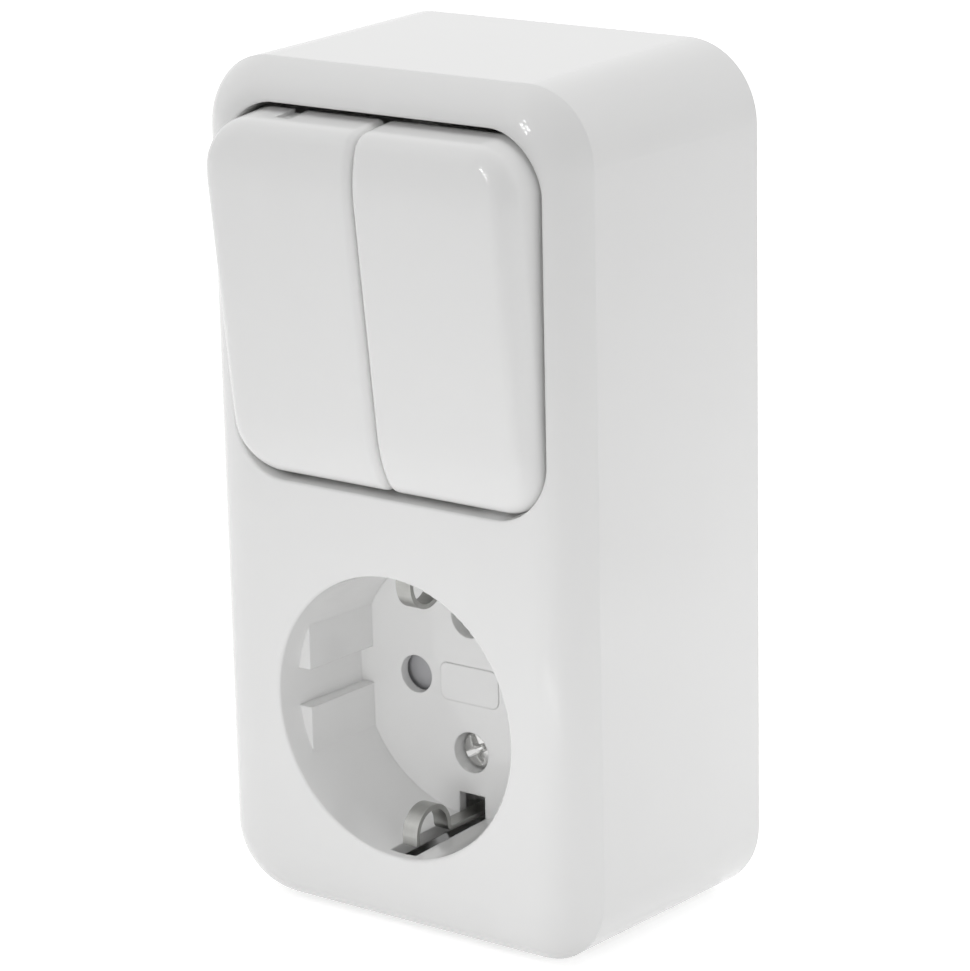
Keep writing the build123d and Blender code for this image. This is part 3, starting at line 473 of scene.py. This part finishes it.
def soften_edges():
    """Thin rounded edges on the earth bow and the shutter."""
    for name, width in METAL_EDGES.items():
        bevel = NODES[name].modifiers.new("edges", "BEVEL")
        bevel.width = width
        bevel.segments = EDGE_SEGMENTS
        bevel.limit_method = "ANGLE"
        bevel.angle_limit = EDGE_ANGLE


def make_camera():
    """The camera at the photograph's place and angle."""
    ahead = Vector((-sin(CAMERA_YAW), cos(CAMERA_YAW), 0.0))
    forward = ahead * cos(CAMERA_PITCH) - Vector((0.0, 0.0, sin(CAMERA_PITCH)))
    level = Vector((cos(CAMERA_YAW), sin(CAMERA_YAW), 0.0))
    upright = level.cross(forward)
    side = level * cos(CAMERA_ROLL) + upright * sin(CAMERA_ROLL)
    up = upright * cos(CAMERA_ROLL) - level * sin(CAMERA_ROLL)
    data = bpy.data.cameras.new("photo_camera")
    data.lens = CAMERA_LENS
    data.sensor_fit = "VERTICAL"
    data.sensor_height = CAMERA_SENSOR
    data.clip_start = CLIP_START
    camera = bpy.data.objects.new("photo_camera", data)
    axes = Matrix((side, up, -forward)).transposed().to_4x4()
    camera.matrix_world = Matrix.Translation(CAMERA_PLACE) @ axes
    bpy.context.scene.collection.objects.link(camera)
    bpy.context.scene.camera = camera


def make_area_light(name, place, target, size, watts, glint=False):
    """A square lamp that faces a target. A glint shows in reflections alone, others in none."""
    data = bpy.data.lights.new(name, "AREA")
    data.shape = "SQUARE"
    data.size = size
    data.energy = watts
    lamp = bpy.data.objects.new(name, data)
    lamp.location = place
    lamp.rotation_euler = (Vector(target) - Vector(place)).to_track_quat("-Z", "Y").to_euler()
    lamp.visible_glossy = glint
    lamp.visible_diffuse = not glint
    bpy.context.scene.collection.objects.link(lamp)


def make_lights():
    """Two broad lamps and two small low ones for the light, and small panes for the glints."""
    for name, (place, target, size, watts) in LAMPS.items():
        make_area_light(name, place, target, size, watts)
    for i, direction in enumerate(GLINTS):
        place = GLINT_CENTRE + Vector(direction).normalized() * GLINT_RANGE
        make_area_light(f"glint_{i}", place, GLINT_CENTRE, GLINT_SIZE, GLINT_WATTS, glint=True)


def show_white(nodes, links):
    """A factor that is 1 where the camera, a reflection or glass looks at a surface."""
    rays = nodes.new("ShaderNodeLightPath")
    seen = nodes.new("ShaderNodeMath")
    seen.operation = "MAXIMUM"
    links.new(rays.outputs["Is Camera Ray"], seen.inputs[0])
    links.new(rays.outputs["Is Glossy Ray"], seen.inputs[1])
    through = nodes.new("ShaderNodeMath")
    through.operation = "MAXIMUM"
    links.new(seen.outputs["Value"], through.inputs[0])
    links.new(rays.outputs["Is Transmission Ray"], through.inputs[1])
    return through.outputs["Value"]


def make_world():
    """A plain even light that shows as white behind the object."""
    world = bpy.data.worlds.new("studio")
    world.use_nodes = True
    bpy.context.scene.world = world
    nodes = world.node_tree.nodes
    links = world.node_tree.links
    light = nodes["Background"]
    light.inputs["Color"].default_value = WHITE
    light.inputs["Strength"].default_value = WORLD_LIGHT
    shown = nodes.new("ShaderNodeBackground")
    shown.inputs["Color"].default_value = WHITE
    mix = nodes.new("ShaderNodeMixShader")
    links.new(show_white(nodes, links), mix.inputs["Fac"])
    links.new(light.outputs["Background"], mix.inputs[1])
    links.new(shown.outputs["Background"], mix.inputs[2])
    links.new(mix.outputs["Shader"], nodes["World Output"].inputs["Surface"])


def make_floor():
    """A pale floor under the unit's lower end, which keeps its shadow."""
    mesh = bpy.data.meshes.new("floor")
    half = FLOOR_SIZE / 2
    height = CAD_BOX[0][2]
    signs = ((-1, -1), (1, -1), (1, 1), (-1, 1))
    mesh.from_pydata([(x * half, y * half, height) for x, y in signs], [], [(0, 1, 2, 3)])
    floor = bpy.data.objects.new("floor", mesh)
    bpy.context.scene.collection.objects.link(floor)
    material, nodes, links = new_material("floor")
    shader = nodes["Principled BSDF"]
    shader.inputs["Base Color"].default_value = opaque(FLOOR_COLOUR)
    shader.inputs["Roughness"].default_value = FLOOR_ROUGHNESS
    shader.inputs["Specular IOR Level"].default_value = 0.0
    glow = nodes.new("ShaderNodeEmission")
    glow.inputs["Strength"].default_value = FLOOR_LIFT
    dark = nodes.new("ShaderNodeEmission")
    dark.inputs["Strength"].default_value = 0.0
    shown = nodes.new("ShaderNodeMixShader")
    links.new(show_white(nodes, links), shown.inputs["Fac"])
    links.new(dark.outputs["Emission"], shown.inputs[1])
    links.new(glow.outputs["Emission"], shown.inputs[2])
    total = nodes.new("ShaderNodeAddShader")
    links.new(shader.outputs["BSDF"], total.inputs[0])
    links.new(shown.outputs["Shader"], total.inputs[1])
    links.new(total.outputs["Shader"], nodes["Material Output"].inputs["Surface"])
    mesh.materials.append(material)


FINISHES = make_materials()
dress_nodes(FINISHES)
make_cover_screw("cover_screw_upper", FINISHES["zinc_steel"])
make_cover_screw("cover_screw_lower", FINISHES["zinc_steel"])
make_springs(FINISHES["spring_steel"])
soften_edges()
make_camera()
make_lights()
make_world()
make_floor()
bpy.context.scene.view_settings.view_transform = "Standard"
bpy.context.scene.cycles.diffuse_bounces = BOUNCES
